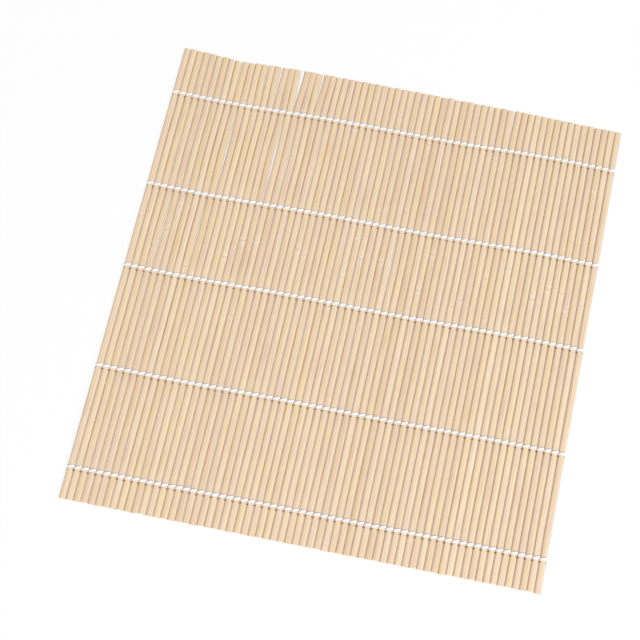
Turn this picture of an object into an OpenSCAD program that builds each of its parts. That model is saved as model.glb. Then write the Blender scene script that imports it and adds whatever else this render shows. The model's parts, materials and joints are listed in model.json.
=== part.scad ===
// Sushi rolling mat: bamboo slats side by side, twined together by five rows of cotton twine.
// The mat lies flat on the XY plane. Slats run along Y, twine rows along X, and +Z is up.
// The origin is at the middle of the mat, on the surface that it lies on.

/* [Slats] */
// Number of slats across the mat
slat_n = 66; // [60:1:75]
// Length of a slat
slat_len = 244.5; // [200:0.5:300]
// Width of a slat
slat_w = 3.01; // [2.8:0.01:3.6]
// Thickness of a slat
slat_t = 1.6; // [1.3:0.05:2]
// How far the cut ends of the slats stand in and out
end_stagger = 0.3; // [0:0.05:0.8]
// How far the right side of the mat lies behind the left one, out of square
out_of_square = 7.8; // [0:0.1:12]

/* [Twine rows] */
// Distance from the far edge of the mat to the first row of twine
row_1 = 24; // [12:0.5:35]
// Distance from the far edge of the mat to the second row
row_2 = 76.8; // [50:0.1:95]
// Distance from the far edge of the mat to the third row
row_3 = 122.4; // [100:0.1:140]
// Distance from the far edge of the mat to the fourth row
row_4 = 176; // [145:0.1:190]
// Distance from the near edge of the mat to the last row
row_5 = 16.5; // [10:0.5:30]
// How far the rows wander along the slats at the far edge of the mat
wander_far = 1.4; // [0:0.1:2]
// How far the rows wander along the slats at the near edge of the mat
wander_near = 0.3; // [0:0.1:2]

/* [Twine] */
// Width of a strand, pressed flat on the bamboo
twine_w = 0.75; // [0.6:0.05:0.9]
// Thickness of a strand, pressed flat on the bamboo
twine_t = 0.42; // [0.36:0.02:0.5]
// Space between a strand and the slat that it goes round
twine_play = 0.1; // [0.08:0.01:0.2]
// Space between the two strands where they cross in a gap
cross_gap = 0.21; // [0.16:0.01:0.35]
// Space round the rounded strand end on which one segment bends against the next
joint_gap = 0.05; // [0.04:0.01:0.08]

/* [Segments] */
// Number of segments that bend against each other
segment_n = 30; // [20:1:30]

/* [Hidden] */
$fn = 48;
function two_digits(i) = str(i < 10 ? "0" : "", i);
function slat_node(s) = str("slats_", two_digits(s + 1));
function twine_node(s) = str("twine_", two_digits(s + 1));

// The strands lie in the gaps between the slats, so they set the pitch.
slat_gap = twine_t + 2 * twine_play;
pitch = slat_w + slat_gap;
mat_w = slat_n * pitch;

// A strand goes round a slat's rounded edge on this radius, and rests at this height.
bend_r = slat_t / 2 + twine_play + twine_t / 2;
mid_z = bend_r + twine_t / 2;
strand_shift = (twine_w + cross_gap) / 2;
turn_pinch = 0.02;

// Each segment has two slats, and the first few have one more, until all the slats are used.
segment_slats = floor(slat_n / segment_n);
wider_segments = slat_n - segment_slats * segment_n;
function first_slat(s) = s * segment_slats + min(s, wider_segments);

// Gap g lies before slat g, so gap 0 and gap slat_n are the two side edges of the mat.
function gap_x(g) = g * pitch - mat_w / 2;
function slat_x(i) = gap_x(i + 0.5);

// The slats slide along each other in the twine, so the mat lies out of square.
function slide(x) = out_of_square * x / mat_w;

// The rows and the slats also drift a little along Y, as they do on a mat woven by hand.
function drift(x) = sin(250 * x / mat_w) - 0.4 * sin(700 * x / mat_w);
function slat_shift(i) = slide(slat_x(i)) + end_stagger * (drift(slat_x(i)) + sin(137 * i)) / 2;
slat_shifts = [for (i = [0:slat_n - 1]) slat_shift(i)];
shift_middle = (max(slat_shifts) + min(slat_shifts)) / 2;
row_places = [slat_len / 2 - row_1, slat_len / 2 - row_2, slat_len / 2 - row_3,
    slat_len / 2 - row_4, row_5 - slat_len / 2];
function wander(y) = wander_near + (wander_far - wander_near) * (y / slat_len + 0.5);
function row_y(r, g) = row_places[r] + slide(gap_x(g)) + wander(row_places[r]) * drift(gap_x(g));

// Outline of a slat's section, w wide and t thick, with fully rounded edges
module flat_oval(w, t) {
    square([w - t, t], center = true);
    for (side = [-1, 1])
        translate([side * (w - t) / 2, 0])
            circle(d = t);
}

// One slat: a flat strip of bamboo with rounded edges
module slat(i) {
    translate([slat_x(i), slat_len / 2 + slat_shifts[i] - shift_middle, mid_z])
        rotate([90, 0, 0])
            linear_extrude(slat_len)
                flat_oval(slat_w, slat_t);
}

// Quarter turn of a strand round a slat's edge: upright at the origin, then level, towards +X
module strand_turn() {
    translate([bend_r, 0, 0])
        rotate([90, -90, 0])
            rotate_extrude(angle = 90)
                translate([bend_r - twine_t / 2, -twine_w / 2])
                    square([twine_t, twine_w]);
}

// A strand over one slat, from where it crosses the gap before it to the gap after it
module stitch_over(y_start, y_end) {
    translate([0, y_start, 0])
        strand_turn();
    translate([0, 0, bend_r - twine_t / 2])
        linear_extrude(twine_t)
            polygon([
                [bend_r, y_start - twine_w / 2],
                [pitch - bend_r, y_end - twine_w / 2],
                [pitch - bend_r, y_end + twine_w / 2],
                [bend_r, y_start + twine_w / 2]
            ]);
    translate([pitch, y_end, 0])
        mirror([1, 0, 0])
            strand_turn();
}

// Rounded end of a strand that comes down from above, on the line about which the mat bends
module strand_end() {
    rotate([90, 180, 0])
        rotate_extrude(angle = 180)
            translate([0, -twine_w / 2])
                square([twine_t / 2, twine_w]);
}

// Where strand +1 or -1 of row r crosses gap g
function strand_y(r, g, side) = row_y(r, g) - side * over_even(g) * strand_shift;
function over_even(i) = i % 2 == 0 ? 1 : -1;

// One strand of row r through slats a to b. Strand +1 goes over the even slats, and -1 under them.
module strand(r, a, b, side) {
    difference() {
        for (i = [a:b]) {
            over = side * over_even(i);
            translate([gap_x(i), 0, mid_z])
                mirror([0, 0, (1 - over) / 2]) {
                    stitch_over(strand_y(r, i, side), strand_y(r, i + 1, side));
                    if (i == b)
                        translate([pitch, strand_y(r, i + 1, side), 0])
                            strand_end();
                }
        }
        if (a > 0)
            translate([gap_x(a), strand_y(r, a, side), mid_z])
                rotate([90, 0, 0])
                    cylinder(h = twine_w + 2 * joint_gap, d = twine_t + 2 * joint_gap, center = true);
    }
}

// Short stretch that joins the two strands round the outer edge of the mat
module edge_turn(r, g) {
    translate([gap_x(g), row_y(r, g), mid_z])
        rotate([90, 0, 0])
            cylinder(h = 2 * strand_shift, d = twine_t - 2 * turn_pinch, center = true);
}

module slats(s) {
    color("burlywood")
        for (i = [first_slat(s):first_slat(s + 1) - 1])
            slat(i);
}

module twine(s) {
    a = first_slat(s);
    b = first_slat(s + 1) - 1;
    color("white")
        for (r = [0:len(row_places) - 1]) {
            for (side = [-1, 1])
                strand(r, a, b, side);
            if (s == 0)
                edge_turn(r, 0);
            if (s == segment_n - 1)
                edge_turn(r, slat_n);
        }
}

for (s = [0:segment_n - 1]) {
    slats(s);
    twine(s);
}
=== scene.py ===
"""Sushi rolling mat: strips of split bamboo twined side by side with cotton, lying flat on white.

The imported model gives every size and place, and this script dresses it. Each rigid segment of the
mat gets two pieces: its bamboo slats and the cotton twine round them. +X runs along the twine, +Y
along the slats and +Z up through the mat.
"""

from __future__ import annotations

import json
import logging
import math
import random
from collections.abc import Sequence
from dataclasses import dataclass
from enum import Enum

import bmesh
import bpy
from mathutils import Euler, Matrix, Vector

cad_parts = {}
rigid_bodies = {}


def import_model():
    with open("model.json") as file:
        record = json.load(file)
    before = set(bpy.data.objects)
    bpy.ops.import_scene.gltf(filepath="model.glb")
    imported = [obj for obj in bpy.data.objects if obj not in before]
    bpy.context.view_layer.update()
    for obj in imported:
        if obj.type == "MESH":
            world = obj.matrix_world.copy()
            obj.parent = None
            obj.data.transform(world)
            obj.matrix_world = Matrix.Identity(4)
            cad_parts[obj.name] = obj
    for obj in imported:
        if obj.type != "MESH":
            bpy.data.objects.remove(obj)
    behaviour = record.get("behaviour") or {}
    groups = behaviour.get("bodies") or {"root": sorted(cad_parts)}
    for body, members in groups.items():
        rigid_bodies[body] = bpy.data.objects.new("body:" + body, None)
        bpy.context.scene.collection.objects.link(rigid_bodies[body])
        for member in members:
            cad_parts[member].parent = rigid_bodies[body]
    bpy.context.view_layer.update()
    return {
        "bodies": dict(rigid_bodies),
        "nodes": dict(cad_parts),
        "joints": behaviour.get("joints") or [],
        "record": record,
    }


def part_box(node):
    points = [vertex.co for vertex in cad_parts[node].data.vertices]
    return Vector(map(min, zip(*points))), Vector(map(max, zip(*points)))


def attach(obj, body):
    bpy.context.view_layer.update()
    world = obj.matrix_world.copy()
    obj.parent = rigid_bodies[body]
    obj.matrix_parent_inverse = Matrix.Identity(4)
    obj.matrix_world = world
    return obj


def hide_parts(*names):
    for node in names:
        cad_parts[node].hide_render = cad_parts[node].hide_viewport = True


MM = 0.001
SENSOR_MM = 36.0
SLATS_IN_NARROWEST = 2
ROWS_APART = 5 * MM
FAR_OFF = 1.0
TOUCHING = 1e-6
SAME_PLACE = 1e-7
SLAT_LAYERS = ("tone", "warmth", "scar_gap", "across", "nick_and_shade")
STRAND_MAP = "strand"
log = logging.getLogger("rolling_mat")

Stops = tuple[tuple[float, str], ...]
StrandPoint = tuple[Vector, float, float]
Ring = tuple[Vector, Vector, Vector]


class Pass(Enum):
    """The side of a slat that a strand of twine passes."""

    OVER = 1
    UNDER = -1

    def other(self) -> Pass:
        """Returns the opposite side."""
        return Pass(-self.value)


def linear(colour: str, alpha: float = 1.0) -> tuple[float, float, float, float]:
    """Turns an sRGB hex colour to linear light.

    Args:
        colour: six hex digits after a #.
        alpha: the fourth channel.

    Returns:
        Red, green, blue and alpha.
    """
    channels = [int(colour[i : i + 2], 16) / 255 for i in (1, 3, 5)]
    light = [c / 12.92 if c <= 0.04045 else ((c + 0.055) / 1.055) ** 2.4 for c in channels]
    return (*light, alpha)


def ease(share: float) -> float:
    """Smooths a share.

    Args:
        share: any number, which counts as 0 below 0 and as 1 above 1.

    Returns:
        A number that goes smoothly from 0 to 1 as the share does.
    """
    share = min(1.0, max(0.0, share))
    return share * share * (3 - 2 * share)


def add_node(
    tree: bpy.types.NodeTree,
    kind: str,
    inputs: dict[str | int, object] | None = None,
    stops: Stops | None = None,
    **settings: object,
) -> bpy.types.Node:
    """Adds a shader node with its settings and links.

    Args:
        tree: the node tree.
        kind: the node's type.
        inputs: for each input, by name or number, its value or the output that feeds it.
        stops: the places and colours of a colour ramp.
        settings: the node's own properties.

    Returns:
        The new node.
    """
    node = tree.nodes.new(kind)
    for name, value in settings.items():
        setattr(node, name, value)
    for name, value in (inputs or {}).items():
        if isinstance(value, bpy.types.NodeSocket):
            tree.links.new(value, node.inputs[name])
        else:
            node.inputs[name].default_value = value
    if stops:
        ramp = node.color_ramp.elements
        while len(ramp) < len(stops):
            ramp.new(1.0)
        for element, (place, colour) in zip(ramp, stops):
            element.position = place
            element.color = linear(colour)
    return node


def new_material(name: str) -> tuple[bpy.types.Material, bpy.types.NodeTree]:
    """Makes a material with an empty node tree.

    Args:
        name: the material's name.

    Returns:
        The material and its tree.
    """
    material = bpy.data.materials.new(name)
    material.use_nodes = True
    material.node_tree.nodes.clear()
    return material, material.node_tree


@dataclass(frozen=True)
class Tint:
    """A colour that comes over another one as some value goes from its start to its full."""

    colour: str
    start: float
    full: float
    most: float = 1.0

    def over(
        self, tree: bpy.types.NodeTree, base: object, value: bpy.types.NodeSocket
    ) -> bpy.types.NodeSocket:
        """Lays the tint over a colour.

        Args:
            tree: the node tree.
            base: the colour below, or the output that gives it.
            value: what the tint goes by.

        Returns:
            The tinted colour.
        """
        share = add_node(
            tree,
            "ShaderNodeMapRange",
            {"Value": value, "From Min": self.start, "From Max": self.full, "To Max": self.most},
        ).outputs["Result"]
        # The colour sockets of a Mix node are its inputs 6 and 7, and its output 2.
        return add_node(
            tree, "ShaderNodeMix", {0: share, 6: base, 7: linear(self.colour)}, data_type="RGBA"
        ).outputs[2]


@dataclass(frozen=True)
class Grain:
    """A noise that is drawn out along the slats, with the real size of its grains."""

    width_mm: float
    length_mm: float
    detail: float
    roughness: float = 0.55

    def noise(
        self, tree: bpy.types.NodeTree, place: bpy.types.NodeSocket
    ) -> bpy.types.NodeSocket:
        """Adds the noise.

        Args:
            tree: the node tree.
            place: the object's coordinates.

        Returns:
            The noise, from 0 to 1.
        """
        across, along = 1 / (self.width_mm * MM), 1 / (self.length_mm * MM)
        stretched = add_node(
            tree, "ShaderNodeMapping", {"Vector": place, "Scale": (across, along, across)}
        ).outputs[0]
        return add_node(
            tree,
            "ShaderNodeTexNoise",
            {
                "Vector": stretched,
                "Scale": 1.0,
                "Detail": self.detail,
                "Roughness": self.roughness,
            },
        ).outputs["Fac"]


@dataclass(frozen=True)
class SplitBamboo:
    """Bare split bamboo, planed and sanded: pale straw, with fine straight fibres, nearly matt.

    Streaks of yellower and pinker wood run along each slat. The fibres of real bamboo are about
    0.1 mm wide. Here they are 0.3 mm, or they wouldn't show. A greyer mauve over the rounded edges
    is painted shade. The brown over the side walls is partly the browner split wood and partly
    painted shade in the gaps between the slats. Both go by the distance from a slat's middle, as a
    share of half its width.
    """

    tones: Stops = (
        (0.0, "#DCBC92"),
        (0.3, "#E6CBA5"),
        (0.5, "#EED5B1"),
        (0.7, "#F3DEBD"),
        (1.0, "#FAE9CC"),
    )
    tone_swing: float = 0.7
    streaks: Grain = Grain(0.7, 45.0, 2.0)
    hues: Grain = Grain(0.91, 22.5, 2.0)
    yellow: Tint = Tint("#F4DAA2", 0.5, 0.72, 0.6)
    pink: Tint = Tint("#EBCDBA", 0.5, 0.3, 0.75)
    fibres: Grain = Grain(0.3, 22.0, 3.0)
    fibre: Tint = Tint("#B98F63", 0.5, 0.74, 0.45)
    # Painted shade: a greyer mauve over each slat's rounded edges.
    painted_flank_shade: Tint = Tint("#E2C5AE", 0.72, 1.03, 0.75)
    # Side walls: partly browner split wood, partly painted shade in the gaps between slats.
    split: Tint = Tint("#8F5A26", 1.11, 1.18, 0.85)
    # Painted shade: dark brown in the nicks that the twine bites in the slats' edges.
    nick_and_shade: Tint = Tint("#6E3F1A", 0.0, 1.0)
    flecks: Grain = Grain(0.35, 3.5, 3.0)
    fleck: Tint = Tint("#FFF6E4", 0.46, 0.62, 0.7)
    scar: Tint = Tint("#B48A58", 0.5 * MM, 0.1 * MM, 0.4)
    scar_reach: float = 3.2 * MM
    scar_core: float = 0.3 * MM
    scar_wobble: float = 1.4 * MM
    scar_lean: float = 1.1 * MM
    torn_relief: float = 1.2
    relief: float = 0.05 * MM
    relief_strength: float = 0.5
    roughness: float = 0.6
    ior: float = 1.5

    def material(self) -> bpy.types.Material:
        """Makes the bamboo's material, which reads each slat's own values from its vertices.

        Returns:
            The material.
        """
        material, tree = new_material("split_bamboo")
        place = add_node(tree, "ShaderNodeTexCoord").outputs["Object"]
        own = {
            layer: add_node(tree, "ShaderNodeAttribute", attribute_name=layer).outputs["Fac"]
            for layer in SLAT_LAYERS
        }
        off_middle = add_node(
            tree, "ShaderNodeMath", {0: own["across"]}, operation="ABSOLUTE"
        ).outputs[0]
        fibre = self.fibres.noise(tree, place)
        body = self._wood(tree, place, fibre, own)
        # Painted shade: a greyer mauve over the rounded edges.
        body = self.painted_flank_shade.over(tree, body, off_middle)
        # Brown over the side walls: partly split wood, partly painted shade in the gaps.
        body = self.split.over(tree, body, off_middle)
        torn, body = self._scar(tree, place, body, off_middle, own["scar_gap"])
        # Painted shade: dark brown in the twine's nicks.
        body = self.nick_and_shade.over(tree, body, own["nick_and_shade"])

        height = add_node(
            tree,
            "ShaderNodeMath",
            {0: torn, 1: self.torn_relief, 2: fibre},
            operation="MULTIPLY_ADD",
        ).outputs[0]
        bump = add_node(
            tree,
            "ShaderNodeBump",
            {"Strength": self.relief_strength, "Distance": self.relief, "Height": height},
        ).outputs["Normal"]
        shader = add_node(
            tree,
            "ShaderNodeBsdfPrincipled",
            {"Base Color": body, "Roughness": self.roughness, "IOR": self.ior, "Normal": bump},
        ).outputs[0]
        add_node(tree, "ShaderNodeOutputMaterial", {"Surface": shader})
        return material

    def _wood(
        self,
        tree: bpy.types.NodeTree,
        place: bpy.types.NodeSocket,
        fibre: bpy.types.NodeSocket,
        own: dict[str, bpy.types.NodeSocket],
    ) -> bpy.types.NodeSocket:
        """Colours the wood by each slat's tone, its coloured streaks and its fibres.

        Args:
            tree: the node tree.
            place: the object's coordinates.
            fibre: the fibres' noise.
            own: the slat's own values.

        Returns:
            The wood's colour.
        """
        drift = add_node(
            tree,
            "ShaderNodeMath",
            {0: self.streaks.noise(tree, place), 1: self.tone_swing, 2: own["tone"]},
            operation="MULTIPLY_ADD",
        ).outputs[0]
        centred = add_node(
            tree, "ShaderNodeMath", {0: drift, 1: self.tone_swing / 2}, operation="SUBTRACT"
        ).outputs[0]
        body = add_node(
            tree, "ShaderNodeValToRGB", {"Fac": centred}, stops=self.tones
        ).outputs["Color"]
        warmth = add_node(
            tree,
            "ShaderNodeMath",
            {0: self.hues.noise(tree, place), 1: own["warmth"]},
            operation="ADD",
        ).outputs[0]
        body = self.yellow.over(tree, body, warmth)
        body = self.pink.over(tree, body, warmth)
        return self.fibre.over(tree, body, fibre)

    def _scar(
        self,
        tree: bpy.types.NodeTree,
        place: bpy.types.NodeSocket,
        body: bpy.types.NodeSocket,
        off_middle: bpy.types.NodeSocket,
        off_node: bpy.types.NodeSocket,
    ) -> tuple[bpy.types.NodeSocket, bpy.types.NodeSocket]:
        """Marks each node of the cane: a broken line in a shallow V, with pale torn flecks.

        Args:
            tree: the node tree.
            place: the object's coordinates.
            body: the colour so far.
            off_middle: how far across the slat the point is.
            off_node: how far along the slat the point is from the node.

        Returns:
            How torn the surface is, and the colour with the scars.
        """
        flecks = self.flecks.noise(tree, place)
        leaning = add_node(
            tree,
            "ShaderNodeMath",
            {0: off_middle, 1: -self.scar_lean, 2: off_node},
            operation="MULTIPLY_ADD",
        ).outputs[0]
        wobbly = add_node(
            tree,
            "ShaderNodeMath",
            {0: flecks, 1: self.scar_wobble, 2: leaning},
            operation="MULTIPLY_ADD",
        ).outputs[0]
        centred = add_node(
            tree, "ShaderNodeMath", {0: wobbly, 1: self.scar_wobble / 2}, operation="SUBTRACT"
        ).outputs[0]
        off_line = add_node(tree, "ShaderNodeMath", {0: centred}, operation="ABSOLUTE").outputs[0]
        near = add_node(
            tree,
            "ShaderNodeMapRange",
            {"Value": off_line, "From Min": self.scar_reach, "From Max": self.scar_core},
        ).outputs["Result"]
        coarse = add_node(
            tree,
            "ShaderNodeMapRange",
            {
                "Value": flecks,
                "From Min": self.fleck.start,
                "From Max": self.fleck.full,
                "To Max": self.fleck.most,
            },
        ).outputs["Result"]
        torn = add_node(
            tree, "ShaderNodeMath", {0: coarse, 1: near}, operation="MULTIPLY"
        ).outputs[0]
        pale = Tint(self.fleck.colour, 0.0, 1.0).over(tree, body, torn)
        return torn, self.scar.over(tree, pale, off_line)


@dataclass(frozen=True)
class TwistedCotton:
    """Bleached cotton twine of three plies, loosely twisted: white, soft and quite matt.

    The twist shows as slanting grooves between the plies, greyed a little by painted shade.
    """

    colour: str = "#FFFEFF"
    # Painted shade in the grooves between the plies.
    groove_shade: Tint = Tint("#EEEAF4", -0.35, -1.0, 0.6)
    plies: int = 3
    twist_mm: float = 2.6
    relief: float = 0.06 * MM
    relief_strength: float = 0.7
    roughness: float = 0.92
    sheen: float = 0.25

    def material(self) -> bpy.types.Material:
        """Makes the twine's material, whose plies wind along each strand's own UV map.

        Returns:
            The material.
        """
        material, tree = new_material("twisted_cotton")
        around = add_node(tree, "ShaderNodeUVMap", uv_map=STRAND_MAP).outputs[0]
        parts = add_node(tree, "ShaderNodeSeparateXYZ", {0: around}).outputs
        # U is the length along the strand in millimetres, and V is the share of the way round.
        turns = add_node(
            tree,
            "ShaderNodeMath",
            {0: parts["X"], 1: self.plies / self.twist_mm},
            operation="MULTIPLY",
        ).outputs[0]
        winding = add_node(
            tree,
            "ShaderNodeMath",
            {0: parts["Y"], 1: float(self.plies), 2: turns},
            operation="MULTIPLY_ADD",
        ).outputs[0]
        angle = add_node(
            tree, "ShaderNodeMath", {0: winding, 1: math.tau}, operation="MULTIPLY"
        ).outputs[0]
        ply = add_node(tree, "ShaderNodeMath", {0: angle}, operation="SINE").outputs[0]
        # Painted shade: the white turns a little grey in the grooves.
        body = self.groove_shade.over(tree, linear(self.colour), ply)
        bump = add_node(
            tree,
            "ShaderNodeBump",
            {"Strength": self.relief_strength, "Distance": self.relief, "Height": ply},
        ).outputs["Normal"]
        shader = add_node(
            tree,
            "ShaderNodeBsdfPrincipled",
            {
                "Base Color": body,
                "Roughness": self.roughness,
                "Sheen Weight": self.sheen,
                "Normal": bump,
            },
        ).outputs[0]
        add_node(tree, "ShaderNodeOutputMaterial", {"Surface": shader})
        return material


@dataclass(frozen=True)
class Strip:
    """The place of one slat at rest, in metres."""

    number: int
    left: float
    right: float
    near: float
    far: float
    low: float
    high: float

    @property
    def middle(self) -> Vector:
        """The slat's centre."""
        return Vector(
            ((self.left + self.right) / 2, (self.near + self.far) / 2, (self.low + self.high) / 2)
        )

    @property
    def size(self) -> Vector:
        """The slat's width, length and thickness."""
        return Vector((self.right - self.left, self.far - self.near, self.high - self.low))


@dataclass(frozen=True)
class MatPlan:
    """Where the slats, gaps and rows of twine lie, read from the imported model."""

    pitch: float
    gap: float
    strips: dict[str, list[Strip]]
    rows: list[list[tuple[float, float]]]

    @classmethod
    def from_frame(cls, frame: dict) -> MatPlan:
        """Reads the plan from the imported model.


        Returns:
            The plan, with the slats of each body and each row's points from left to right.
        """
        hinge_lines = [joint["pos_m"][0] for joint in frame["joints"]]
        narrowest = min(b - a for a, b in zip(hinge_lines, hinge_lines[1:]))
        pitch = narrowest / SLATS_IN_NARROWEST
        strips: dict[str, list[Strip]] = {}
        rows: list[list[tuple[float, float]]] = []
        number = 0
        for body, (slat_node, twine_node) in frame["record"]["behaviour"]["bodies"].items():
            lo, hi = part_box(slat_node)
            count = round((hi.x - lo.x) / pitch)
            width = hi.x - lo.x - (count - 1) * pitch
            points = [v.co for v in frame["nodes"][slat_node].data.vertices]
            strips[body] = []
            for k in range(count):
                left = lo.x + k * pitch
                right = left + width
                ends = [p.y for p in points if left - TOUCHING <= p.x <= right + TOUCHING]
                strips[body].append(Strip(number, left, right, min(ends), max(ends), lo.z, hi.z))
                number += 1
            middle_x = (lo.x + hi.x) / 2
            ys = sorted(v.co.y for v in frame["nodes"][twine_node].data.vertices)
            for r, (first, last) in enumerate(cls._clusters(ys, ROWS_APART)):
                if r == len(rows):
                    rows.append([])
                rows[r].append((middle_x, (first + last) / 2))
        return cls(pitch, pitch - width, strips, rows)

    @staticmethod
    def _clusters(values: list[float], apart: float) -> list[tuple[float, float]]:
        """Splits sorted values where they lie apart.

        Args:
            values: the values, from low to high.
            apart: the least gap between two clusters.

        Returns:
            The first and last value of each cluster.
        """
        found = [[values[0], values[0]]]
        for value in values[1:]:
            if value - found[-1][1] > apart:
                found.append([value, value])
            found[-1][1] = value
        return [(first, last) for first, last in found]

    def row_y(self, row: int, x: float) -> float:
        """Finds where a row of twine lies along the slats, going straight on past its ends.

        Args:
            row: the row's number, from the near one.
            x: the place across the mat.

        Returns:
            The row's y there.
        """
        points = self.rows[row]
        k = max(1, min(len(points) - 1, sum(1 for p in points if p[0] < x)))
        (x0, y0), (x1, y1) = points[k - 1], points[k]
        return y0 + (y1 - y0) * (x - x0) / (x1 - x0)


@dataclass(frozen=True)
class Opening:
    """A place where two neighbouring slats stand apart, so that the ground shows between them."""

    x: float
    bay: int
    width: float


@dataclass
class BambooSlats:
    """The slats: planed strips with rounded edges, each a little bowed between the rows of twine.

    They nearly meet between the rows. The twine has bitten a nick in each edge that it passes.
    The cuts at a row and the nick's place are given from the row's middle. Each of the node_zones
    is a place and a spread, as shares of the length, and the share of slats with a node there.
    Each of the far_ends is a slat's number and how far its far end stands out.
    """

    plan: MatPlan
    finish: SplitBamboo
    spread_width: float = 0.54 * MM
    edge_round: float = 0.72 * MM
    edge_steps: int = 3
    edge_start: float = 0.62
    crown: float = 0.22 * MM
    crown_cuts: tuple[float, ...] = (-0.24, 0.0, 0.24)
    end_round: float = 0.14 * MM
    bay_steps: int = 6
    row_cuts_mm: tuple[float, ...] = (-2.3, -1.95, -1.6, -1.2, -0.4, 0.6)
    pinch: float = 0.12 * MM
    pinch_reach: float = 0.9 * MM
    nick_depth: float = 0.2 * MM
    nick_place: float = -1.75 * MM
    nick_reach: float = 0.36 * MM
    nick_lowest: float = -0.3
    nick_fade: float = 0.1
    bow: float = 0.045 * MM
    closest: float = 0.05 * MM
    lift: float = 0.03 * MM
    ragged_end: float = 0.22 * MM
    end_slant: float = 0.05
    roll_deg: float = 1.6
    narrower: float = 0.01
    tone: tuple[float, float] = (0.53, 0.07)
    warmth: tuple[float, float] = (0.0, 0.04)
    node_swell: float = 0.06 * MM
    node_reach: float = 1.8 * MM
    node_zones: tuple[tuple[float, float, float], ...] = ((0.58, 0.06, 0.5), (0.89, 0.025, 0.2))
    crisp_deg: float = 40.0
    openings: tuple[Opening, ...] = (
        Opening(-88 * MM, 5, 0.3 * MM),
        Opening(-74 * MM, 5, 0.45 * MM),
        Opening(-65.4 * MM, 5, 1.0 * MM),
        Opening(-55.3 * MM, 5, 1.9 * MM),
        Opening(-44.8 * MM, 5, 0.9 * MM),
        Opening(61.8 * MM, 5, 0.5 * MM),
        Opening(-84 * MM, 4, 0.75 * MM),
        Opening(-58.6 * MM, 4, 0.95 * MM),
        Opening(-50.5 * MM, 4, 0.5 * MM),
        Opening(-38 * MM, 4, 0.3 * MM),
        Opening(-104 * MM, 3, 0.5 * MM),
        Opening(-88 * MM, 3, 0.4 * MM),
        Opening(15 * MM, 3, 0.4 * MM),
        Opening(-20 * MM, 2, 0.3 * MM),
    )
    opening_fade: float = 0.72
    far_ends: tuple[tuple[float, float], ...] = (
        (0, 0.7 * MM),
        (4, 0.2 * MM),
        (8, -0.9 * MM),
        (13, 0.0),
        (18, 0.5 * MM),
        (32, 0.5 * MM),
        (48, 0.2 * MM),
        (65, -0.7 * MM),
    )
    seed: int = 11

    def __post_init__(self) -> None:
        """Makes the material, and draws how all the slats lie beside each other."""
        self.chance = random.Random(self.seed)
        slats = [strip for strips in self.plan.strips.values() for strip in strips]
        self.material = self.finish.material()
        self.bays = len(self.plan.rows) + 1
        self.sideways = [self._bows(bay, slats) for bay in range(self.bays)]

    def _bows(self, bay: int, slats: list[Strip]) -> list[float]:
        """Draws how far each slat bows sideways in a bay, without two of them meeting.

        Args:
            bay: 0 for the near free ends, then the bays between the rows, and last the far ends.
            slats: all the slats from left to right.

        Returns:
            The sideways bow of each slat.
        """
        bows = [0.0]
        for _ in slats[1:]:
            drawn = max(-2 * self.bow, min(2 * self.bow, self.chance.gauss(0, self.bow)))
            bows.append(max(drawn, bows[-1] - self.closest))
        for opening in self.openings:
            if opening.bay != bay:
                continue
            for k, strip in enumerate(slats):
                offset = strip.middle.x - opening.x
                steps = abs(offset) / self.plan.pitch - 0.5
                push = opening.width / 2 * self.opening_fade ** max(0.0, steps)
                bows[k] += math.copysign(push, offset)
        return bows

    def build(self, body: str, name: str) -> bpy.types.Object:
        """Builds the slats of one segment as one piece.

        Args:
            body: the CAD body that holds them.
            name: the piece's name.

        Returns:
            The piece, at rest in the row frame.
        """
        bm = bmesh.new()
        layers = {key: bm.verts.layers.float.new(key) for key in SLAT_LAYERS}
        for strip in self.plan.strips[body]:
            before = len(bm.verts)
            self._blank(bm, strip, before)
            bm.verts.ensure_lookup_table()
            mine = bm.verts[before:]
            node_y = self._node_place(strip)
            tone = min(1.0, max(0.0, self.chance.gauss(*self.tone)))
            warmth = self.chance.gauss(*self.warmth)
            half = strip.size.x / 2
            for v in mine:
                v[layers["tone"]] = tone
                v[layers["warmth"]] = warmth
                v[layers["scar_gap"]] = v.co.y - node_y
                v[layers["across"]] = (v.co.x - strip.middle.x) / half
            self._settle(mine, strip, node_y, layers["nick_and_shade"])
        bmesh.ops.recalc_face_normals(bm, faces=bm.faces)
        return self._piece(bm, name)

    def _node_place(self, strip: Strip) -> float:
        """Draws where a node of the cane crosses a slat.

        Args:
            strip: the slat's place.

        Returns:
            The node's y, or a place far off the slat if it has none.
        """
        pick = self.chance.random()
        for along, spread, share in self.node_zones:
            if pick < share:
                return strip.near + self.chance.gauss(along, spread) * strip.size.y
            pick -= share
        return strip.far + FAR_OFF

    def _blank(self, bm: bmesh.types.BMesh, strip: Strip, before: int) -> None:
        """Adds one straight slat with rounded edges, cut across where it bends or is nicked.

        Args:
            bm: the mesh to add to.
            strip: the slat's place.
            before: how many vertices the mesh has without it.
        """
        size = strip.size + Vector((self.spread_width, 0, 0))
        cube = bmesh.ops.create_cube(bm, size=1.0)["verts"]
        bmesh.ops.scale(bm, vec=size, verts=cube)
        bmesh.ops.translate(bm, vec=strip.middle, verts=cube)
        bmesh.ops.bevel(
            bm,
            geom=self._edges(bm, before, along=True),
            offset=self.edge_round,
            segments=self.edge_steps,
            profile=0.5,
            affect="EDGES",
            material=-1,
        )
        bmesh.ops.bevel(
            bm,
            geom=self._edges(bm, before, along=False),
            offset=self.end_round,
            segments=1,
            profile=0.5,
            affect="EDGES",
            material=-1,
        )
        for share in self.crown_cuts:
            bm.verts.ensure_lookup_table()
            mine = bm.verts[before:]
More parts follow.
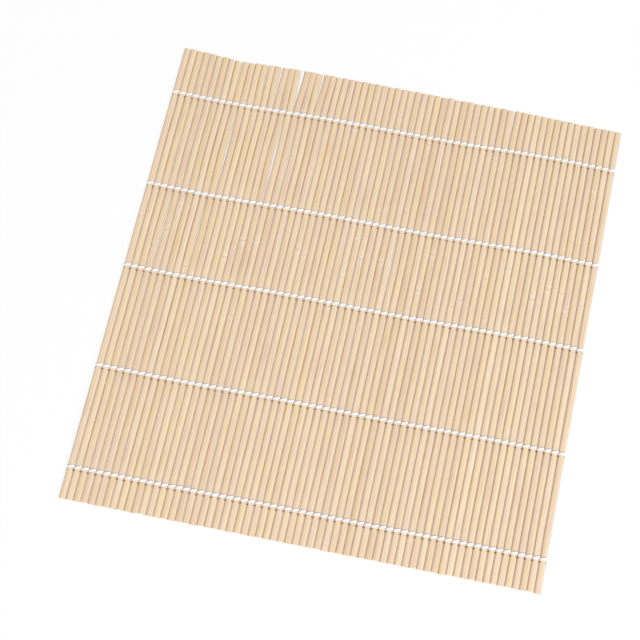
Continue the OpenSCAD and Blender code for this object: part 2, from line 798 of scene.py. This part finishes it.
            # A dict keeps their order, where a set's would change with each run.
            faces = dict.fromkeys(f for v in mine for f in v.link_faces)
            edges = dict.fromkeys(e for v in mine for e in v.link_edges)
            bmesh.ops.bisect_plane(
                bm,
                geom=[*mine, *edges, *faces],
                dist=SAME_PLACE,
                plane_co=strip.middle + Vector((share * size.x, 0, 0)),
                plane_no=(1, 0, 0),
            )
        places = self._cross_cuts(strip)
        bmesh.ops.subdivide_edges(
            bm, edges=self._edges(bm, before, along=True), cuts=len(places), use_grid_fill=True
        )
        bm.verts.ensure_lookup_table()
        near, far = strip.near + self.end_round, strip.far - self.end_round
        step = (far - near) / (len(places) + 1)
        for v in bm.verts[before:]:
            k = round((v.co.y - near) / step)
            if 1 <= k <= len(places) and near + step / 2 < v.co.y < far - step / 2:
                v.co.y = places[k - 1]

    def _cross_cuts(self, strip: Strip) -> list[float]:
        """Lists where a slat is cut across: close together at each row, and evenly between.

        Args:
            strip: the slat's place.

        Returns:
            The cuts' places along the slat, from near to far.
        """
        rows = sorted(self.plan.row_y(r, strip.middle.x) for r in range(len(self.plan.rows)))
        cuts = [row + off_row * MM for row in rows for off_row in self.row_cuts_mm]
        ends = [strip.near, *rows, strip.far]
        for start, end in zip(ends, ends[1:]):
            cuts += [start + (end - start) * k / self.bay_steps for k in range(1, self.bay_steps)]
        return sorted(cuts)

    def _edges(self, bm: bmesh.types.BMesh, before: int, along: bool) -> list[bmesh.types.BMEdge]:
        """Finds the newest slat's edges that run along it, or those that bound its two ends.

        Args:
            bm: the mesh.
            before: how many vertices the mesh had without the slat.
            along: whether the edges along the slat are wanted.

        Returns:
            The edges, in the order of the slat's vertices.
        """
        bm.verts.ensure_lookup_table()
        mine = bm.verts[before:]
        far, near = max(v.co.y for v in mine), min(v.co.y for v in mine)
        edges = dict.fromkeys(e for v in mine for e in v.link_edges)
        if along:
            half = (far - near) / 2
            return [e for e in edges if abs(e.verts[0].co.y - e.verts[1].co.y) > half]
        return [
            e
            for e in edges
            if any(all(abs(v.co.y - end) < SAME_PLACE for v in e.verts) for end in (near, far))
        ]

    def _settle(
        self,
        mine: list[bmesh.types.BMVert],
        strip: Strip,
        node_y: float,
        nick_shade_layer: bmesh.types.BMLayerItem,
    ) -> None:
        """Crowns, nicks, bows and trims one slat as it lies in the twine.

        Args:
            mine: the slat's vertices.
            strip: its place.
            node_y: where the cane's node is, which stands a little proud.
            nick_shade_layer: how deep in a nick a vertex is, which sets its painted shade.
        """
        middle, half = strip.middle, strip.size / 2
        rows = sorted(self.plan.row_y(r, middle.x) for r in range(len(self.plan.rows)))
        sideways = self._stations(strip, rows, [bay[strip.number] for bay in self.sideways])
        lifts = [self.chance.gauss(0, self.lift) for _ in range(self.bays)]
        lift = self._stations(strip, rows, lifts)
        roll = math.radians(self.chance.gauss(0, self.roll_deg))
        wide = 1 - min(2 * self.narrower, abs(self.chance.gauss(0, self.narrower)))
        far_end = self._along(self.far_ends, strip.number)
        trims = [self.chance.uniform(0, self.ragged_end) for _ in range(2)]
        slant = [self.chance.gauss(0, self.end_slant) for _ in range(2)]
        for v in mine:
            y = v.co.y
            across, up = (v.co.x - middle.x) * wide, v.co.z - middle.z
            row = min(rows, key=lambda place: abs(place - y))
            off_row = (y - row) / self.pinch_reach
            bitten = self.pinch * math.exp(-(off_row**2))
            nick_and_shade = math.exp(-(((y - row - self.nick_place) / self.nick_reach) ** 2))
            edge = ease((abs(across) / half.x - self.edge_start) / (1 - self.edge_start))
            # The nick's dark brown in the material is painted shade; this layer says where it goes.
            v[nick_shade_layer] = nick_and_shade * edge if up > self.nick_lowest * half.z else 0.0
            above = ease(up / half.z + self.nick_fade)
            across -= math.copysign(edge * (bitten + nick_and_shade * self.nick_depth * above), across)
            swell = 1 + self.node_swell / half.z * math.exp(
                -(((y - node_y) / self.node_reach) ** 2)
            )
            fall = self.crown * min(1.0, abs(across) / half.x) ** 2 if up > 0 else 0.0
            up = up * swell - fall
            v.co.x = middle.x + across - up * roll + self._along(sideways, y)
            v.co.z = middle.z + up + across * roll + self._along(lift, y)
            if y > middle.y + half.y - 2 * self.end_round:
                v.co.y = y + far_end - trims[1] + across * slant[1]
            elif y < middle.y - half.y + 2 * self.end_round:
                v.co.y = y + trims[0] + across * slant[0]

    def _stations(
        self, strip: Strip, rows: list[float], bows: list[float]
    ) -> list[tuple[float, float]]:
        """Places a slat's bows halfway between its rows, and its splays at the free ends.

        Args:
            strip: the slat's place.
            rows: where the rows cross it, from near to far.
            bows: how far it bows in each bay.

        Returns:
            Places along the slat, each with its offset. The offset is none at a row.
        """
        stations = [(strip.near, bows[0])]
        for k, row in enumerate(rows):
            stations.append((row, 0.0))
            if k + 1 < len(rows):
                stations.append(((row + rows[k + 1]) / 2, bows[k + 1]))
        stations.append((strip.far, bows[-1]))
        return stations

    @staticmethod
    def _along(stations: Sequence[tuple[float, float]], y: float) -> float:
        """Reads the smooth line through some stations.

        Args:
            stations: places, each with its offset.
            y: the place to read.

        Returns:
            The offset there.
        """
        for (y0, a), (y1, b) in zip(stations, stations[1:]):
            if y <= y1:
                return a + (b - a) * ease((y - y0) / (y1 - y0))
        return stations[-1][1]

    def _piece(self, bm: bmesh.types.BMesh, name: str) -> bpy.types.Object:
        """Turns the finished mesh to a smooth-shaded piece with crisp sawn ends.

        Args:
            bm: the mesh, which is freed.
            name: the piece's name.

        Returns:
            The piece.
        """
        for face in bm.faces:
            face.smooth = True
        for edge in bm.edges:
            if edge.calc_face_angle(0.0) > math.radians(self.crisp_deg):
                edge.smooth = False
        mesh = bpy.data.meshes.new(name)
        bm.to_mesh(mesh)
        bm.free()
        mesh.materials.append(self.material)
        piece = bpy.data.objects.new(name, mesh)
        bpy.context.scene.collection.objects.link(piece)
        return piece


@dataclass
class CottonTwine:
    """The twine: two strands in each row, which change sides and cross in every gap.

    The cap rounds off a strand's end: how far out each ring is and how wide, as shares.
    """

    plan: MatPlan
    finish: TwistedCotton
    sides: int = 8
    crossing: float = 0.48 * MM
    gap_half_width: float = 0.44 * MM
    gap_half_thickness: float = 0.2 * MM
    stitch_half_width: float = 0.74 * MM
    stitch_half_thickness: float = 0.26 * MM
    corner_plump: float = 0.7
    cap: tuple[tuple[float, float], ...] = ((0.5, 0.88), (0.85, 0.55), (1.0, 0.0))

    def __post_init__(self) -> None:
        """Makes the material."""
        self.material = self.finish.material()

    def build(self, body: str, name: str) -> bpy.types.Object:
        """Builds all the twine of one segment as one piece.

        Args:
            body: the CAD body that holds it.
            name: the piece's name.

        Returns:
            The piece, at rest in the row frame.
        """
        bm = bmesh.new()
        bm.loops.layers.uv.new(STRAND_MAP)
        strips = self.plan.strips[body]
        bodies = list(self.plan.strips)
        for row in range(len(self.plan.rows)):
            over = self._path(row, strips, Pass.OVER)
            under = self._path(row, strips, Pass.UNDER)
            if body == bodies[0]:
                self._sweep(bm, self._joined(under[::-1], over))
            elif body == bodies[-1]:
                self._sweep(bm, self._joined(over, under[::-1]))
            else:
                self._sweep(bm, over)
                self._sweep(bm, under)
        bmesh.ops.remove_doubles(bm, verts=bm.verts, dist=TOUCHING)
        bmesh.ops.recalc_face_normals(bm, faces=bm.faces)
        for face in bm.faces:
            face.smooth = True
        mesh = bpy.data.meshes.new(name)
        bm.to_mesh(mesh)
        bm.free()
        mesh.materials.append(self.material)
        piece = bpy.data.objects.new(name, mesh)
        bpy.context.scene.collection.objects.link(piece)
        return piece

    def _path(self, row: int, strips: list[Strip], first: Pass) -> list[StrandPoint]:
        """Lays one strand through the gaps and past the slats of a segment.

        Args:
            row: the row of twine.
            strips: the segment's slats.
            first: the side on which the strand would pass an even slat.

        Returns:
            Points on the strand, each with its half width and half thickness.
        """
        path: list[StrandPoint] = []
        reach = strips[0].size.z / 2 + self.stitch_half_thickness
        middle_z = strips[0].middle.z
        for strip in strips:
            passing = first if strip.number % 2 == 0 else first.other()
            x0 = strip.left - self.plan.gap / 2
            x1 = x0 + self.plan.pitch
            y0 = self.plan.row_y(row, x0) - passing.value * self.crossing
            y1 = self.plan.row_y(row, x1) + passing.value * self.crossing
            corner = reach * math.sqrt(0.5)
            # Each entry is how far in from the gap, how far up from the middle, and how plump.
            rise = [
                (0.0, 0.0, 0.0),
                (reach - corner, corner, self.corner_plump),
                (reach, reach, 1.0),
            ]
            fall = [(self.plan.pitch - x, z, plump) for x, z, plump in reversed(rise)]
            for x, z, plump in [*rise, (self.plan.pitch / 2, reach, 1.0), *fall]:
                along = x / self.plan.pitch
                point = Vector((x0 + x, y0 + (y1 - y0) * along, middle_z + passing.value * z))
                if path and (path[-1][0] - point).length < TOUCHING:
                    continue
                path.append((point, *self._section(plump)))
        return path

    def _section(self, plump: float) -> tuple[float, float]:
        """Works out how thick a strand is.

        Args:
            plump: from 0 in a gap to 1 on a slat.

        Returns:
            The strand's half width and half thickness.
        """
        wider = self.stitch_half_width - self.gap_half_width
        thicker = self.stitch_half_thickness - self.gap_half_thickness
        return self.gap_half_width + wider * plump, self.gap_half_thickness + thicker * plump

    @staticmethod
    def _joined(first: list[StrandPoint], second: list[StrandPoint]) -> list[StrandPoint]:
        """Joins two strands where they meet round the mat's outer edge, halfway between them.

        Args:
            first: the strand that comes to the edge.
            second: the strand that goes on from it.

        Returns:
            The points of both.
        """
        turn = (first[-1][0] + second[0][0]) / 2
        return [*first[:-1], (turn, *first[-1][1:]), *second[1:]]

    def _sweep(self, bm: bmesh.types.BMesh, path: list[StrandPoint]) -> None:
        """Wraps a grid round the path as a closed tube with rounded ends.

        Args:
            bm: the mesh to add to.
            path: points with the strand's half width and half thickness there.
        """
        rings = self._rings(path)
        lengths = [0.0]
        for (here, *_), (following, *_) in zip(rings, rings[1:]):
            lengths.append(lengths[-1] + (following - here).length)
        steps = len(rings) - 1
        grid = bmesh.ops.create_grid(
            bm, x_segments=steps, y_segments=self.sides, size=0.5, calc_uvs=True
        )["verts"]
        uv = bm.loops.layers.uv[STRAND_MAP]
        for face in {f for v in grid for f in v.link_faces}:
            for loop in face.loops:
                k = round((loop.vert.co.x + 0.5) * steps)
                loop[uv].uv = (lengths[k] / MM, loop.vert.co.y + 0.5)
        for v in grid:
            centre, wide, thick = rings[round((v.co.x + 0.5) * steps)]
            turn = (v.co.y + 0.5) * math.tau
            v.co = centre + wide * math.cos(turn) + thick * math.sin(turn)

    def _rings(self, path: list[StrandPoint]) -> list[Ring]:
        """Works out the strand's section at each point, with rounded ends added.

        Args:
            path: points with the strand's half width and half thickness there.

        Returns:
            For each ring its centre and its two half axes.
        """
        points = [point for point, *_ in path]
        aheads = [
            (points[min(k + 1, len(points) - 1)] - points[max(k - 1, 0)]).normalized()
            for k in range(len(points))
        ]
        # At a gap the strand runs straight up or down through it.
        for k in (0, -1):
            aheads[k] = Vector((0, 0, math.copysign(1, aheads[k].z)))
        rings = []
        for ahead, (point, half_width, half_thickness) in zip(aheads, path):
            across = Vector((0, 1, 0))
            across = (across - ahead * across.dot(ahead)).normalized()
            rings.append((point, across * half_width, ahead.cross(across) * half_thickness))
        start = self._rounded(rings[0], aheads[0] * -path[0][2])
        end = self._rounded(rings[-1], aheads[-1] * path[-1][2])
        return [*start[::-1], *rings, *end]

    def _rounded(self, ring: Ring, reach: Vector) -> list[Ring]:
        """Rounds off a strand's end.

        Args:
            ring: the last ring at that end.
            reach: how far out the end goes from it.

        Returns:
            The end's rings, from the last ring outwards.
        """
        centre, wide, thick = ring
        return [(centre + reach * out, wide * share, thick * share) for out, share in self.cap]


@dataclass(frozen=True)
class PhotoCamera:
    """The photograph's viewpoint: almost overhead, a little nearer to the mat's front edge."""

    lens_mm: float = 50.0
    clip: tuple[float, float] = (0.01, 20.0)
    place: Vector = Vector((-3.1, -95.9, 447.7)) * MM
    turn_deg: tuple[float, float, float] = (10.876, -0.992, 12.965)

    def build(self) -> bpy.types.Object:
        """Makes the camera and sets it as the scene's.

        Returns:
            The camera.
        """
        data = bpy.data.cameras.new("photo_camera")
        data.sensor_width = SENSOR_MM
        data.lens = self.lens_mm
        data.clip_start, data.clip_end = self.clip
        camera = bpy.data.objects.new("photo_camera", data)
        camera.location = self.place
        camera.rotation_euler = Euler([math.radians(a) for a in self.turn_deg], "XYZ")
        bpy.context.scene.collection.objects.link(camera)
        bpy.context.scene.camera = camera
        return camera


@dataclass(frozen=True)
class WhiteStudio:
    """A white floor and sky, with a soft lamp at the front right."""

    floor_half: float = 3.0
    floor_colour: str = "#FDFCFF"
    floor_clear: float = 0.85
    sky_light: float = 0.56
    key_watts: float = 43.0
    key_size: float = 0.8
    key_place: Vector = Vector((1.5, -1.0, 1.9))

    def build(self) -> None:
        """Makes the floor, the lamp and the world."""
        bpy.context.scene.view_settings.view_transform = "Standard"
        self._floor()
        self._key()
        self._world()

    def _floor(self) -> None:
        """Makes the floor, which takes a shadow.

        The camera sees the white sky through most of it, and whatever bends down below it.
        """
        bm = bmesh.new()
        bmesh.ops.create_grid(bm, x_segments=1, y_segments=1, size=self.floor_half)
        mesh = bpy.data.meshes.new("floor")
        bm.to_mesh(mesh)
        bm.free()
        material, tree = new_material("white_floor")
        paint = add_node(
            tree, "ShaderNodeBsdfDiffuse", {"Color": linear(self.floor_colour)}
        ).outputs[0]
        clear = add_node(tree, "ShaderNodeBsdfTransparent").outputs[0]
        seen = self._seen(tree)
        share = add_node(
            tree, "ShaderNodeMath", {0: seen, 1: self.floor_clear}, operation="MULTIPLY"
        ).outputs[0]
        surface = add_node(tree, "ShaderNodeMixShader", {0: share, 1: paint, 2: clear}).outputs[0]
        add_node(tree, "ShaderNodeOutputMaterial", {"Surface": surface})
        mesh.materials.append(material)
        floor = bpy.data.objects.new("floor", mesh)
        bpy.context.scene.collection.objects.link(floor)

    @staticmethod
    def _seen(tree: bpy.types.NodeTree) -> bpy.types.NodeSocket:
        """Tells which rays the camera sees: straight, by a reflection or through a clear part.

        Args:
            tree: the node tree.

        Returns:
            1 for such a ray, and 0 for the rest.
        """
        rays = add_node(tree, "ShaderNodeLightPath").outputs
        seen = rays["Is Camera Ray"]
        for kind in ("Is Glossy Ray", "Is Transmission Ray"):
            seen = add_node(
                tree, "ShaderNodeMath", {0: seen, 1: rays[kind]}, operation="MAXIMUM"
            ).outputs[0]
        return seen

    def _key(self) -> None:
        """Makes the soft lamp."""
        data = bpy.data.lights.new("key", "AREA")
        data.size = self.key_size
        data.energy = self.key_watts
        lamp = bpy.data.objects.new("key", data)
        lamp.location = self.key_place
        lamp.rotation_euler = (-self.key_place).to_track_quat("-Z", "Y").to_euler()
        bpy.context.scene.collection.objects.link(lamp)

    def _world(self) -> None:
        """Makes an even white sky, which looks white to the camera at any light level."""
        world = bpy.data.worlds.new("studio")
        world.use_nodes = True
        tree = world.node_tree
        tree.nodes.clear()
        strength = add_node(
            tree,
            "ShaderNodeMapRange",
            {"Value": self._seen(tree), "To Min": self.sky_light, "To Max": 1.0},
        ).outputs["Result"]
        sky = add_node(
            tree, "ShaderNodeBackground", {"Color": (1, 1, 1, 1), "Strength": strength}
        ).outputs[0]
        add_node(tree, "ShaderNodeOutputWorld", {"Surface": sky})
        bpy.context.scene.world = world


def main() -> None:
    """Dresses the mat segment by segment, and lights and frames it as the photograph does."""
    logging.basicConfig(level=logging.INFO, format="%(message)s")
    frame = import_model()
    PhotoCamera().build()
    WhiteStudio().build()
    plan = MatPlan.from_frame(frame)
    slats = BambooSlats(plan, SplitBamboo())
    twine = CottonTwine(plan, TwistedCotton())
    for body, (slat_node, twine_node) in frame["record"]["behaviour"]["bodies"].items():
        label = body.split("_")[-1]
        for maker, stem, node, slot in (
            (slats, "bamboo", slat_node, "bamboo"),
            (twine, "cotton", twine_node, "twine"),
        ):
            piece = maker.build(body, f"{stem}_{label}")
            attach(piece, body)
            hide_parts(node)
            log.info("%s on %s: %d faces", piece.name, body, len(piece.data.polygons))


if __name__ == "__main__":
    main()
